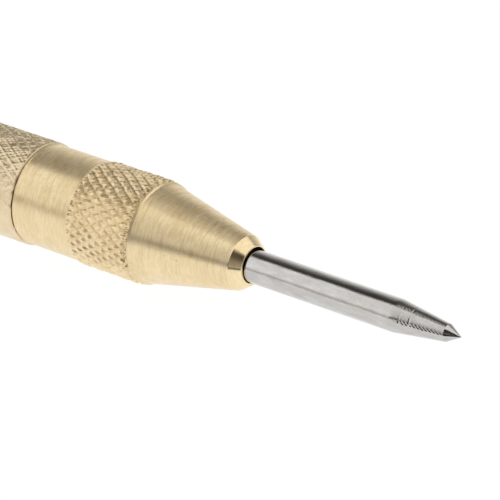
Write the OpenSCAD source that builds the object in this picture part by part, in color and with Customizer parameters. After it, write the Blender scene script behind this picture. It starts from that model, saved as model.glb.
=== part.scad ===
// Spring-loaded automatic centre punch: a turned brass body with a hardened steel point.
// The tool lies along X with its point towards +X and rests on z = 0.
// Along the axis, places are given as a depth: the distance behind the point's tip.

/* [Overall] */
// Length from the tip to the end of the cap
tool_len = 128; // [128:0.5:134]
// Diameter over the crests of the knurling
grip_d = 13; // [12.8:0.1:14]
// Diameter of the plain rings between the knurled bands
ring_d = 12.5; // [12:0.1:12.7]

/* [Point] */
// Diameter of the point's shank
shank_d = 4; // [3.8:0.05:4]
// Included angle of the tip
tip_angle = 60; // [50:5:90]
// Diameter where the tip's cone meets the taper
tip_base_d = 2.14; // [1.8:0.02:2.6]
// Depth at which the taper reaches the shank's full diameter
taper_end = 8.8; // [7:0.1:12]
// How far the point can be pressed in
stroke = 10; // [8:0.5:10]
// Diameter of the head that keeps the point in the nose
head_d = 7.4; // [7:0.1:7.5]
// Length of the head
head_len = 7; // [6:0.5:7.5]

/* [Nose] */
// Length of point that stands out of the nose at rest
point_out = 29.65; // [28:0.05:30]
// Diameter of the nose's front face
nose_face_d = 4.9; // [4.7:0.05:5.2]
// Diameter of the hole in the front face
mouth_d = 4.4; // [4.36:0.02:4.5]
// Length of the steep chamfer behind the front face
chamfer_len = 1.3; // [1:0.1:1.6]
// Diameter where the chamfer meets the long cone
chamfer_d = 6.72; // [6.4:0.02:7]
// Diameter of the long cone's large end
cone_base_d = 12.1; // [11.8:0.05:12.2]
// Depth of the raised rim at the cone's large end
rim_depth = 43.85; // [43.5:0.05:44.2]
// Length of the knurled band on the nose
nose_knurl_len = 9.05; // [8.5:0.05:9.5]
// Length of the plain ring between the nose's knurling and the joint line
nose_ring_len = 8.6; // [8:0.1:9]

/* [Barrel and cap] */
// Length of the knurled grip
grip_len = 35.2; // [34:0.1:35.5]
// Length of the plain ring at the rear of the barrel
rear_ring_len = 8; // [7:0.5:8]
// Outer diameter of the screw thread that carries the cap
cap_thread_d = 10; // [9.8:0.1:10.2]
// Length of that thread
cap_thread_len = 12; // [11:0.5:12]
// Length of the knurled band on the cap
cap_knurl_len = 12.5; // [11:0.5:13]

/* [Works] */
// Diameter of the hammer
hammer_d = 7.8; // [7.6:0.05:7.9]
// Length of the hammer
hammer_len = 20; // [18:0.5:20]
// Diameter of the trip pin's stem and tail
pin_d = 3; // [2.8:0.05:3.1]
// Angle at which the light spring holds the trip pin off the axis
pin_tilt = 1.75; // [1.5:0.05:1.8]
// Wire diameter of the main spring
main_wire_d = 1.1; // [1:0.05:1.15]
// Number of turns of the main spring
main_turns = 10; // [8:0.5:10.5]
// Wire diameter of the light return spring
return_wire_d = 0.5; // [0.4:0.05:0.55]
// Number of turns of the return spring
return_turns = 7; // [6:0.5:7.5]

/* [Hidden] */

round_fn = 96;
tip_x = tool_len / 2;
axis_z = grip_d / 2;
gap = 0.3;              // between pieces that only meet under load
thread_clear = 0.05;    // radial, in both screw threads
slide_clear = 0.06;     // radial, round the hammer
journal_clear = 0.035;  // radial, round the part of the point that runs in the nose
arc_steps = 12;         // straight steps in a rounded corner

// depths of the nose's shoulders
tip_cone_len = tip_base_d / 2 / tan(tip_angle / 2);
journal_d = mouth_d - 2 * journal_clear;
journal_front = point_out + 0.1;
journal_step = 0.2;
head_front = 41;
head_rear = head_front + head_len;
rim_d = 12.6;
rim_len = 0.35;
groove_d = 11.9;
groove_len = 0.25;
nose_knurl_front = rim_depth + groove_len;
nose_knurl_rear = nose_knurl_front + nose_knurl_len;
joint_line = nose_knurl_rear + nose_ring_len;
nose_thread_d = 10.4;
nose_thread_len = 8;
nose_rear = joint_line + nose_thread_len;
nose_bore_d = 7.8;

// depths in the barrel
barrel_front = joint_line + 0.05;
socket_end = nose_rear + 0.25;
stop_front = 72.5;      // front face of the inner wall
stop_rear = 77;         // the hammer rests against this face
stop_hole_d = 5.2;
stop_lead = 0.8;
hammer_bore_d = hammer_d + 2 * slide_clear;
grip_rear = barrel_front + grip_len;
barrel_shoulder = grip_rear + rear_ring_len;
barrel_rear = barrel_shoulder + cap_thread_len;
thread_root_d = cap_thread_d - 1.2;
thread_relief = 1;

// trip pin
pin_front = head_rear - 3.8;
pin_rear = stop_rear - gap;
collar_d = 6.4;
collar_front = 56;
collar_rear = 58;
centring_d = 4.9;
centring_rear = 63.5;
centring_cone = 1.5;
socket_d = pin_d + 0.5;
socket_gap = 0.2;

// hammer, springs and their seat
hammer_front = stop_rear + 0.02;
hammer_rear = hammer_front + hammer_len;
hammer_hole_d = pin_d + 0.5;
hammer_hole_len = 7;
edge = 0.4;             // small chamfer on the inner pieces
seat_front = 119.5;
seat_disc_len = 1.4;
seat_d = 7.4;
seat_spigot_d = 4.2;
seat_spigot_len = 3;
seat_button_d = 3.6;
seat_button_len = 2.2;
seat_rear = seat_front + seat_disc_len + seat_button_len;
main_coil_d = 5.9;
return_front_d = 5.6;
return_rear_d = 6.9;
wire_sides = 8;
turn_steps = 16;

// cap
cap_front = barrel_shoulder + gap;
cap_lip = 1;
cap_socket_end = barrel_rear + 1.5;
cap_bore_d = 8;
cap_floor = seat_rear + 0.02;
cap_groove_len = 0.8;
cap_groove_d = 11.6;
cap_edge_r = 3.2;
cap_knurl_front = cap_front + cap_lip;
cap_knurl_rear = cap_knurl_front + cap_knurl_len;
cap_dome_front = cap_knurl_rear + cap_groove_len;

// Revolves an outline of [depth, radius] points about the tool's axis.
module turned(outline) {
    translate([tip_x, 0, axis_z])
        rotate([0, -90, 0])
            rotate_extrude($fn = round_fn)
                polygon([for (p = outline) [p[1], p[0]]]);
}

// Points [depth, radius] of a rounded corner about a centre, from angle a to angle b.
function corner(depth, radius, r, a, b) =
    [for (i = [0 : arc_steps])
        let (t = a + (b - a) * i / arc_steps)
        [depth + r * sin(t), radius + r * cos(t)]];

// One point of a coil's centre line: closed end turns, evenly open turns between them.
function coil_depth(t, turns, wire, front, rear) =
    let (closed = wire * 1.06,
         open = (rear - front - wire - 2 * closed) / (turns - 2),
         inner = min(max(t - 1, 0), turns - 2))
    front + wire / 2 + closed * (min(t, 1) + max(t - turns + 1, 0)) + open * inner;

// A coil spring swept round the axis, from coil diameter front_d to rear_d.
module coil(turns, wire, front, rear, front_d, rear_d, front_lift) {
    rings = round(turns * turn_steps);
    points = [for (i = [0 : rings])
        let (t = i / turn_steps,
             part = i / rings,
             a = 360 * t,
             mean_r = (front_d + (rear_d - front_d) * part) / 2,
             lift = front_lift * (1 - part),
             depth = coil_depth(t, turns, wire, front, rear))
        for (k = [0 : wire_sides - 1])
            let (b = 360 * k / wire_sides,
                 r = mean_r + wire / 2 * cos(b))
            [tip_x - depth - wire / 2 * sin(b), r * cos(a), axis_z + lift + r * sin(a)]];
    sides = [for (i = [0 : rings - 1])
        for (k = [0 : wire_sides - 1])
            let (a = i * wire_sides + k,
                 b = i * wire_sides + (k + 1) % wire_sides)
            each [[a, b, b + wire_sides], [a, b + wire_sides, a + wire_sides]]];
    last = rings * wire_sides;
    front_end = [[for (k = [wire_sides - 1 : -1 : 0]) k]];
    rear_end = [[for (k = [0 : wire_sides - 1]) last + k]];
    polyhedron(points = points, faces = concat(sides, front_end, rear_end), convexity = 6);
}

// Hardened steel point: tip cone, taper, shank, a thicker journal that runs in the nose,
// and a head with a socket for the trip pin.
module punch_point() {
    color("silver")
        turned([
            [0, 0],
            [tip_cone_len, tip_base_d / 2],
            [taper_end, shank_d / 2],
            [journal_front, shank_d / 2],
            [journal_front + journal_step, journal_d / 2],
            [head_front + 0.05, journal_d / 2],
            [head_front + 0.05, head_d / 2 - edge],
            [head_front + 0.05 + edge, head_d / 2],
            [head_rear - edge, head_d / 2],
            [head_rear, head_d / 2 - edge],
            [head_rear, socket_d / 2],
            [pin_front - socket_gap, socket_d / 2],
            [pin_front - socket_gap, 0]
        ]);
}

// Trip pin: stands in the point's head, leans off the axis and pushes the hammer.
module trip_pin() {
    pivot = [tip_x - pin_front, 0, axis_z];
    color("slategray")
        translate(pivot) rotate([0, pin_tilt, 0]) translate(-pivot)
            turned([
                [pin_front, 0],
                [pin_front, pin_d / 2 - edge],
                [pin_front + edge, pin_d / 2],
                [collar_front, pin_d / 2],
                [collar_front, collar_d / 2],
                [collar_rear, collar_d / 2],
                [collar_rear, centring_d / 2],
                [centring_rear, centring_d / 2],
                [centring_rear + centring_cone, pin_d / 2],
                [pin_rear - edge / 2, pin_d / 2],
                [pin_rear, pin_d / 2 - edge / 2],
                [pin_rear, 0]
            ]);
}

// Light conical spring: returns the point and leans the trip pin over.
module return_spring() {
    spring_front = collar_rear + gap;
    color("lightsteelblue")
        coil(return_turns, return_wire_d, spring_front, stop_front - 0.05,
             return_front_d, return_rear_d, (spring_front - pin_front) * sin(pin_tilt));
}

// Brass nose: chamfered mouth, long cone, knurled band, plain ring and a thread behind.
module nose_cone() {
    color("khaki")
        turned([
            [point_out, mouth_d / 2],
            [point_out, nose_face_d / 2],
            [point_out + chamfer_len, chamfer_d / 2],
            [rim_depth - rim_len, cone_base_d / 2],
            [rim_depth, rim_d / 2],
            [rim_depth, groove_d / 2],
            [nose_knurl_front, groove_d / 2],
            [nose_knurl_front, grip_d / 2],
            [nose_knurl_rear, grip_d / 2],
            [nose_knurl_rear, ring_d / 2],
            [joint_line, ring_d / 2],
            [joint_line, nose_thread_d / 2],
            [nose_rear, nose_thread_d / 2],
            [nose_rear, nose_bore_d / 2],
            [head_front, nose_bore_d / 2],
            [head_front, mouth_d / 2]
        ]);
}

// Brass barrel: socket for the nose, inner wall with a narrow hole, hammer bore, cap thread.
module barrel() {
    color("darkkhaki")
        turned([
            [barrel_front, nose_thread_d / 2 + thread_clear],
            [barrel_front, grip_d / 2],
            [grip_rear, grip_d / 2],
            [grip_rear, ring_d / 2],
            [barrel_shoulder, ring_d / 2],
            [barrel_shoulder, thread_root_d / 2],
            [barrel_shoulder + thread_relief, thread_root_d / 2],
            [barrel_shoulder + thread_relief, cap_thread_d / 2],
            [barrel_rear - edge, cap_thread_d / 2],
            [barrel_rear, cap_thread_d / 2 - edge],
            [barrel_rear, hammer_bore_d / 2],
            [stop_rear, hammer_bore_d / 2],
            [stop_rear, stop_hole_d / 2],
            [stop_front + stop_lead, stop_hole_d / 2],
            [stop_front, stop_hole_d / 2 + stop_lead / 4],
            [stop_front, nose_bore_d / 2],
            [socket_end, nose_bore_d / 2],
            [socket_end, nose_thread_d / 2 + thread_clear]
        ]);
}

// Steel hammer with the hole that the trip pin's tail drops into.
module hammer() {
    color("dimgray")
        turned([
            [hammer_front, hammer_hole_d / 2],
            [hammer_front, hammer_d / 2 - edge],
            [hammer_front + edge, hammer_d / 2],
            [hammer_rear - edge, hammer_d / 2],
            [hammer_rear, hammer_d / 2 - edge],
            [hammer_rear, 0],
            [hammer_front + hammer_hole_len, 0],
            [hammer_front + hammer_hole_len, hammer_hole_d / 2]
        ]);
}

// Stiff main spring between the hammer and its seat.
module main_spring() {
    color("gray")
        coil(main_turns, main_wire_d, hammer_rear + gap, seat_front - 0.05,
             main_coil_d, main_coil_d, 0);
}

// Seat that centres the main spring and turns against the cap's floor.
module spring_seat() {
    color("gainsboro")
        turned([
            [seat_front - seat_spigot_len, 0],
            [seat_front - seat_spigot_len, seat_spigot_d / 2 - edge],
            [seat_front - seat_spigot_len + edge, seat_spigot_d / 2],
            [seat_front, seat_spigot_d / 2],
            [seat_front, seat_d / 2],
            [seat_front + seat_disc_len, seat_d / 2],
            [seat_front + seat_disc_len, seat_button_d / 2],
            [seat_rear - edge, seat_button_d / 2],
            [seat_rear, seat_button_d / 2 - edge],
            [seat_rear, 0]
        ]);
}

// Knurled brass cap with a domed end: screwed in, it loads the main spring more.
module adjusting_cap() {
    color("burlywood")
        turned(concat(
            [
                [cap_floor, 0],
                [cap_floor, cap_bore_d / 2],
                [cap_socket_end, cap_bore_d / 2],
                [cap_socket_end, cap_thread_d / 2 + thread_clear],
                [cap_front, cap_thread_d / 2 + thread_clear],
                [cap_front, ring_d / 2 - edge],
                [cap_front + edge, ring_d / 2],
                [cap_knurl_front, ring_d / 2],
                [cap_knurl_front, grip_d / 2],
                [cap_knurl_rear, grip_d / 2],
                [cap_knurl_rear, cap_groove_d / 2],
                [cap_dome_front, cap_groove_d / 2],
                [cap_dome_front, ring_d / 2]
            ],
            corner(tool_len - cap_edge_r, ring_d / 2 - cap_edge_r, cap_edge_r, 0, 90),
            [[tool_len, 0]]
        ));
}

punch_point();
trip_pin();
return_spring();
nose_cone();
barrel();
hammer();
main_spring();
spring_seat();
adjusting_cap();
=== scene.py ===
"""Looks of the automatic centre punch: turned and knurled brass, ground steel point, works inside.

The tool lies along X with its point towards +X. Along the axis, places are depths in millimetres
behind the point's tip, and radii are in millimetres.
"""
import math

import bpy
import numpy as np
from mathutils import Matrix, Vector

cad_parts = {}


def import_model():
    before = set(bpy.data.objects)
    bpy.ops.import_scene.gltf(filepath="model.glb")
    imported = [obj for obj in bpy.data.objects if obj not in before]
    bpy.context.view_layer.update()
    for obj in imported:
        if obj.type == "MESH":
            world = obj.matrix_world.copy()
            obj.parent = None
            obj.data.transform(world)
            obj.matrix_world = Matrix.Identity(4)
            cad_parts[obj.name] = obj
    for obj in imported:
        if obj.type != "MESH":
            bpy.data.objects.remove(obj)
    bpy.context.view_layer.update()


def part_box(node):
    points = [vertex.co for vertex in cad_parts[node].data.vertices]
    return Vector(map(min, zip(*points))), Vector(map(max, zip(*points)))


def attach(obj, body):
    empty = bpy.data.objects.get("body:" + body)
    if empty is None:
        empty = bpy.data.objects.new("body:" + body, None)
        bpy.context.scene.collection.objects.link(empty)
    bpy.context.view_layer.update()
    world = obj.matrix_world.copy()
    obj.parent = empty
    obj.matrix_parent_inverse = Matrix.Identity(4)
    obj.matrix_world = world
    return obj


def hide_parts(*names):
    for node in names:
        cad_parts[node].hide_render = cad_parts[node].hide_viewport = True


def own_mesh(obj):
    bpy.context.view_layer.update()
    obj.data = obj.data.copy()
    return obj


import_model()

MM = 0.001

# ---------------------------------------------------------------- the frame's places

POINT_LO, POINT_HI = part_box("punch_point")
NOSE_LO, NOSE_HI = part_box("nose_cone")
BARREL_LO, BARREL_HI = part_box("barrel")
CAP_LO, CAP_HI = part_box("adjusting_cap")
HAMMER_LO, HAMMER_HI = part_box("hammer")
SEAT_LO, SEAT_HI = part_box("spring_seat")
MAIN_LO, MAIN_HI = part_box("main_spring")
RETURN_LO, RETURN_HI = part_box("return_spring")

TIP_X = POINT_HI.x
AXIS_Z = (NOSE_LO.z + NOSE_HI.z) / 2
GRIP_R = (NOSE_HI.y - NOSE_LO.y) / 2 / MM
RING_R = GRIP_R - 0.25


def depth_of(x):
    """How far behind the tip a place on the X axis is, in millimetres."""
    return (TIP_X - x) / MM


HEAD_REAR = depth_of(POINT_LO.x)
MOUTH = depth_of(NOSE_HI.x)
NOSE_REAR = depth_of(NOSE_LO.x)
BARREL_FRONT = depth_of(BARREL_HI.x)
BARREL_REAR = depth_of(BARREL_LO.x)
CAP_FRONT = depth_of(CAP_HI.x)
TOOL_END = depth_of(CAP_LO.x)
HAMMER_FRONT = depth_of(HAMMER_HI.x)
HAMMER_REAR = depth_of(HAMMER_LO.x)
SEAT_FRONT = depth_of(SEAT_HI.x)
SEAT_REAR = depth_of(SEAT_LO.x)

# ---------------------------------------------------------------- turned pieces

ARC_STEPS = 4                    # straight steps in a rounded corner
SHARP = math.radians(32)         # faces that turn more than this meet in a sharp edge
CENTRE = 0.001                   # radius of a ring that stands for a point on the axis
PLAIN, KNURL, BRIGHT = 0, 1, 2   # a strip's skin is its place in the piece's materials


def rounded(corners):
    """Rings [depth, radius] of an outline, with its corners [depth, radius, r] rounded."""
    rings = []
    for i, (depth, radius, r) in enumerate(corners):
        here = Vector((depth, radius))
        if r <= 0 or i in (0, len(corners) - 1):
            rings.append((depth, radius))
            continue
        before = Vector(corners[i - 1][:2]) - here
        after = Vector(corners[i + 1][:2]) - here
        half = before.angle(after) / 2
        cut = min(r / math.tan(half), 0.45 * before.length, 0.45 * after.length)
        a = here + before.normalized() * cut
        b = here + after.normalized() * cut
        for k in range(ARC_STEPS + 1):
            t = k / ARC_STEPS
            p = a * (1 - t) ** 2 + here * (2 * t * (1 - t)) + b * t ** 2
            rings.append((p.x, p.y))
    return rings


HOLD = 0.03              # rings this close to a corner keep the shading beside it straight


def held(rings):
    """The same outline with a ring close to each end of its long straight runs."""
    out = [rings[0]]
    for a, b in zip(rings, rings[1:]):
        run = math.dist(a, b)
        if run > 8 * HOLD:
            for share in (HOLD / run, 1 - HOLD / run):
                out.append((a[0] + (b[0] - a[0]) * share, a[1] + (b[1] - a[1]) * share))
        out.append(b)
    return out


class Turning:
    """Rings round the tool's axis that become one piece, with a skin for each strip."""

    def __init__(self, columns):
        self.columns = columns
        self.angle = 2 * math.pi * np.arange(columns) / columns
        self.depth, self.radius, self.groove, self.skin, self.fine = [], [], [], [], []

    def spread(self, value):
        """The value for each column, from one number or from a number for each."""
        return np.broadcast_to(float(value), self.columns) if np.isscalar(value) else value

    def ring(self, depth, radius, skin=PLAIN, groove=0.0, fine=False):
        """One ring. Its skin and its fineness are those of the strip that follows it."""
        self.depth.append(self.spread(depth))
        self.radius.append(self.spread(radius))
        self.groove.append(self.spread(groove))
        self.skin.append(skin)
        self.fine.append(fine)

    def outline(self, corners, skin=PLAIN, groove=0.0):
        """The rings of an outline of corners [depth, radius, r]."""
        for depth, radius in held(rounded(corners)):
            self.ring(depth, radius, skin, groove)

    def field(self, start, end, step, surface, skin, fine=True):
        """Close rings from start to end, whose radius and groove darkness surface() gives.

        A fine field has its cells split in two, which keeps slanting grooves clean.
        """
        count = max(2, round(abs(end - start) / step))
        for k in range(count + 1):
            depth = start + (end - start) * k / count
            radius, groove = surface(self.angle, depth)
            self.ring(depth, radius, skin, groove, fine=fine and k < count)

    def build(self, name, closed):
        """A mesh object. Its strips run ring to ring, and last to first if closed."""
        n, rows = self.columns, len(self.depth)
        x = TIP_X - np.array(self.depth) * MM
        r = np.array(self.radius) * MM
        y = -r * np.cos(self.angle)
        z = AXIS_Z + r * np.sin(self.angle)
        points = np.stack([x, y, z], axis=-1).reshape(-1, 3)
        groove = np.array(self.groove).reshape(-1)
        near = np.arange(n)
        far = (near + 1) % n
        faces, skins = [], []
        strips = rows if closed else rows - 1
        for i in range(strips):
            a, b = i * n + near, i * n + far
            j = (i + 1) % rows
            c, d = j * n + far, j * n + near
            if self.fine[i]:
                # each cell's diagonal follows the groove or crest that crosses it
                flat_ac = np.abs(r[i][near] - r[j][far])
                flat_bd = np.abs(r[i][far] - r[j][near])
                ac = flat_ac <= flat_bd
                first = np.where(ac[:, None], np.stack([a, b, c], 1), np.stack([a, b, d], 1))
                second = np.where(ac[:, None], np.stack([a, c, d], 1), np.stack([b, c, d], 1))
                made = np.concatenate([first, second]).tolist()
            else:
                made = np.stack([a, b, c, d], 1).tolist()
            faces += made
            skins += [self.skin[i]] * len(made)
        if not closed:
            faces += [list(range(n))[::-1], [(rows - 1) * n + k for k in range(n)]]
            skins += [self.skin[0], self.skin[-1]]
        mesh = bpy.data.meshes.new(name)
        mesh.from_pydata(points.tolist(), [], faces)
        mesh.polygons.foreach_set("material_index", skins)
        attribute = mesh.attributes.new("groove", "FLOAT", "POINT")
        attribute.data.foreach_set("value", groove.astype(np.float32))
        if signed_volume(mesh) < 0:
            mesh.flip_normals()
        mesh.polygons.foreach_set("use_smooth", [True] * len(mesh.polygons))
        mesh.set_sharp_from_angle(angle=SHARP)
        mesh.update()
        piece = bpy.data.objects.new(name, mesh)
        bpy.context.scene.collection.objects.link(piece)
        return piece


def signed_volume(mesh):
    """Six times the mesh's volume, which is below zero if its faces point inwards."""
    mesh.calc_loop_triangles()
    co = np.zeros(len(mesh.vertices) * 3, np.float32)
    mesh.vertices.foreach_get("co", co)
    co = co.reshape(-1, 3).astype(float) - co.reshape(-1, 3).mean(0)
    tri = np.zeros(len(mesh.loop_triangles) * 3, np.int32)
    mesh.loop_triangles.foreach_get("vertices", tri)
    p = co[tri.reshape(-1, 3)]
    return float(np.einsum("ij,ij->", p[:, 0], np.cross(p[:, 1], p[:, 2])))


def finish_piece(piece, body, node, materials):
    """Gives a piece its materials, hides the CAD node that it stands for, and puts it under its
    body.
    """
    for material in materials:
        piece.data.materials.append(material)
    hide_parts(node)
    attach(piece, body)
    return piece


# ---------------------------------------------------------------- surface shapes

NOSE_STARTS = 34         # knurl grooves round the nose, each way
NOSE_PITCH = 1.95        # axial repeat of the nose's diamonds
NOSE_STEPS = 12          # columns and rings to one diamond
NOSE_VALLEY = 0.29       # how deep the grooves are
NOSE_SHADED_SIDE = math.radians(110)   # where the grooves get the most painted shade, on the upper side

GRIP_STARTS = 36         # the same for the grip of the barrel and for the cap
GRIP_PITCH = 1.92
GRIP_STEPS = 10
GRIP_VALLEY = 0.15
GRIP_LINE = 0.26         # half width of a raised line, in pitches
GRIP_FAINT_LINE = 0.2    # half width of the fainter lines of the second rolling
WORN_LENGTH = 12.0       # the grip's heavy wear ends this far behind its front

THREAD_PITCH = 1.0
THREAD_HEIGHT = 0.5


def wobble(angle, depth, seed, rough):
    """A smooth, seeded ripple, mostly between -1 and 1, over a turned surface."""
    rng = np.random.default_rng(seed)
    total = np.zeros_like(angle)
    for _ in range(9):
        turns = rng.integers(1, rough)
        along = rng.uniform(-1.2, 1.2) * rough / 9
        phase = rng.uniform(0, 2 * math.pi)
        total = total + np.sin(turns * angle + along * depth + phase)
    return total / 3.5


def from_groove(phase):
    """0 in the middle of each groove and 1 half way to the next, for a phase in pitches."""
    return np.abs(phase - np.round(phase)) * 2


def smooth(value, start, end):
    """A soft step from 0 at start to 1 at end."""
    t = np.clip((value - start) / (end - start), 0, 1)
    return t * t * (3 - 2 * t)


def nose_knurl(first, last):
    """Uneven diamonds between rounded grooves, with a ragged edge at the front."""
    def surface(angle, depth):
        turn = angle / (2 * math.pi)
        shift = 0.05 * wobble(angle, depth, 31, 9)
        one = NOSE_STARTS * turn + depth / NOSE_PITCH + shift
        two = NOSE_STARTS * turn - depth / NOSE_PITCH - shift
        width = 0.88 + 0.07 * wobble(angle, depth, 5, 60)
        near = np.minimum(from_groove(one), from_groove(two))
        again = np.minimum(from_groove(one + 0.5), from_groove(two + 0.45))
        second = 0.3 * np.clip(0.5 + wobble(angle, depth, 13, 12), 0, 1)
        cut = np.maximum(1 - smooth(near, 0.0, width), second * (1 - smooth(again, 0.0, 0.5)))
        valley = NOSE_VALLEY + 0.04 * wobble(angle, depth, 7, 40)
        front = smooth(depth - first + 0.09 * wobble(angle, 0.0, 3, 90), 0.0, 0.28)
        rear = smooth(last - depth, 0.0, 0.2)
        ends = front * rear
        chips = np.clip(wobble(angle, 7 * depth, 9, 150), 0, 1)
        chips = chips * smooth(first + 1.2 - depth, 0, 1)
        top = GRIP_R - 0.015 - 0.3 * (1 - front) - 0.16 * (1 - rear) - 0.12 * chips
        radius = top - valley * cut * ends
        # painted shade: the grooves are darkened, most on the upper side; the chips at the front
        # are darkened as well
        nose_groove_shade = 0.5 + 0.5 * smooth(np.cos(angle - NOSE_SHADED_SIDE), 0.2, 0.8)
        nose_groove_shade = nose_groove_shade * np.clip(0.75 + 0.5 * wobble(angle, depth, 17, 50), 0, 1)
        dark = np.maximum(smooth(cut, 0.6, 1) * nose_groove_shade, chips) * ends
        return np.minimum(radius, GRIP_R), dark
    return surface


def line(phase, width):
    """A raised line of that half width, in pitches: 1 on its crest and 0 beside it."""
    return 1 - smooth(np.abs(phase - np.round(phase)), 0.0, width)


def grip_knurl(first, last, seed, worn_side):
    """Fine raised lines, rolled twice, and worn nearly smooth on one side if one is given."""
    def surface(angle, depth):
        turn = angle / (2 * math.pi)
        shift = 0.05 * wobble(angle, depth, seed + 1, 7)
        one = GRIP_STARTS * turn + depth / GRIP_PITCH + shift
        two = GRIP_STARTS * turn - depth / GRIP_PITCH - shift
        raised = np.maximum(line(one, GRIP_LINE), 0.85 * line(two, GRIP_LINE))
        again = np.maximum(0.8 * line(one + 0.45, GRIP_FAINT_LINE),
                           0.6 * line(two + 0.55, GRIP_FAINT_LINE))
        again = again * np.clip(0.7 + wobble(angle, depth, seed + 2, 12), 0, 1.3)
        raised = np.maximum(raised, again)
        worn = 1.0
        if worn_side is not None:
            near = 0.25 + 0.75 * smooth(first + WORN_LENGTH - depth, 0.0, WORN_LENGTH / 2)
            worn = 1 - 0.72 * near * smooth(np.cos(angle - worn_side), 0.35, 0.85)
        worn = worn * (0.85 + 0.15 * wobble(angle, depth, seed, 14))
        ends = smooth(depth - first, 0.0, 0.3) * smooth(last - depth, 0.0, 0.3)
        sunk = (1 - raised) * ends * np.clip(worn, 0.1, 1)
        dents = 0.03 * np.clip(wobble(angle, 2 * depth, seed + 3, 70), 0, 1)
        radius = GRIP_R - 0.012 - GRIP_VALLEY * sunk - dents - 0.1 * (1 - ends)
        # painted shade: the sunk floors between the raised lines are darkened, less where worn
        return np.minimum(radius, GRIP_R), smooth(sunk, 0.3, 1.0) * 0.5
    return surface


def thread(crest_r):
    """A smooth single-start screw thread, darker towards the root of its groove."""
    def surface(angle, depth):
        wave = np.cos(2 * math.pi * depth / THREAD_PITCH - angle)
        radius = crest_r - THREAD_HEIGHT / 2 + THREAD_HEIGHT / 2 * wave
        return radius, np.clip(0.5 - 0.5 * wave, 0, 1) * 0.6
    return surface


MARK_PITCH = 0.5         # along the taper, from one grinding mark to the next
MARK_STARTS = 25         # the marks run round it as a steep screw of this many starts
MARK_DEPTH = 0.02
MARK_SIDE = math.radians(14)     # where the marks are freshest
STEEP_SIDE = 0.34        # share of each mark that is its steep side
CUT_LINES = ((6.25, 0.04), (7.5, 0.014))     # place and depth of the lines cut round it
CUT_LINE_WIDTH = 0.08


def grinding_marks(start, end, r_start, r_end):
    """The taper with the slanting ridges its grinding left, and two deeper lines round it."""
    def surface(angle, depth):
        share = (depth - start) / (end - start)
        phase = depth / MARK_PITCH - MARK_STARTS * angle / (2 * math.pi)
        phase = phase + 0.1 * np.sin(3 * angle)
        part = phase - np.floor(phase)
        step = np.where(part < STEEP_SIDE, part / STEEP_SIDE, (1 - part) / (1 - STEEP_SIDE))
        uneven = 0.85 + 0.15 * np.sin(depth * 2.9 + 2 * angle)
        faint = np.clip((end - 0.5 - depth) / 1.2, 0, 1)
        fresh = 0.3 + 0.7 * smooth(np.cos(angle - MARK_SIDE), 0.75, 0.97)
        deep = sum(size * math.exp(-((depth - place) / CUT_LINE_WIDTH) ** 2)
                   for place, size in CUT_LINES)
        radius = r_start + (r_end - r_start) * share
        return radius - fresh * (MARK_DEPTH * uneven * faint * step + deep), 0.0 * angle
    return surface


# ---------------------------------------------------------------- materials


class Graph:
    """Short calls that add nodes to one node tree."""

    def __init__(self, tree):
        self.tree = tree

    def link(self, a, b):
        self.tree.links.new(a, b)

    def feed(self, socket, value):
        """Links an output to a socket, or sets the number or colour that it holds."""
        if isinstance(value, tuple):
            socket.default_value = (*value, 1.0)
        elif isinstance(value, (int, float)):
            socket.default_value = value
        else:
            self.link(value, socket)

    def math(self, kind, a, b):
        node = self.tree.nodes.new("ShaderNodeMath")
        node.operation = kind
        self.feed(node.inputs[0], a)
        self.feed(node.inputs[1], b)
        return node.outputs[0]

    def mix(self, fac, a, b):
        node = self.tree.nodes.new("ShaderNodeMix")
        node.data_type = "RGBA"
        self.link(fac, node.inputs["Factor"])
        self.feed(node.inputs[6], a)
        self.feed(node.inputs[7], b)
        return node.outputs[2]

    def ramp(self, fac, low, high, out_low=0.0, out_high=1.0, kind="LINEAR"):
        """A value that goes from out_low to out_high as fac goes from low to high."""
        node = self.tree.nodes.new("ShaderNodeMapRange")
        node.interpolation_type = kind
        node.inputs["From Min"].default_value = low
        node.inputs["From Max"].default_value = high
        node.inputs["To Min"].default_value = out_low
        node.inputs["To Max"].default_value = out_high
        self.link(fac, node.inputs["Value"])
        return node.outputs["Result"]


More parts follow.
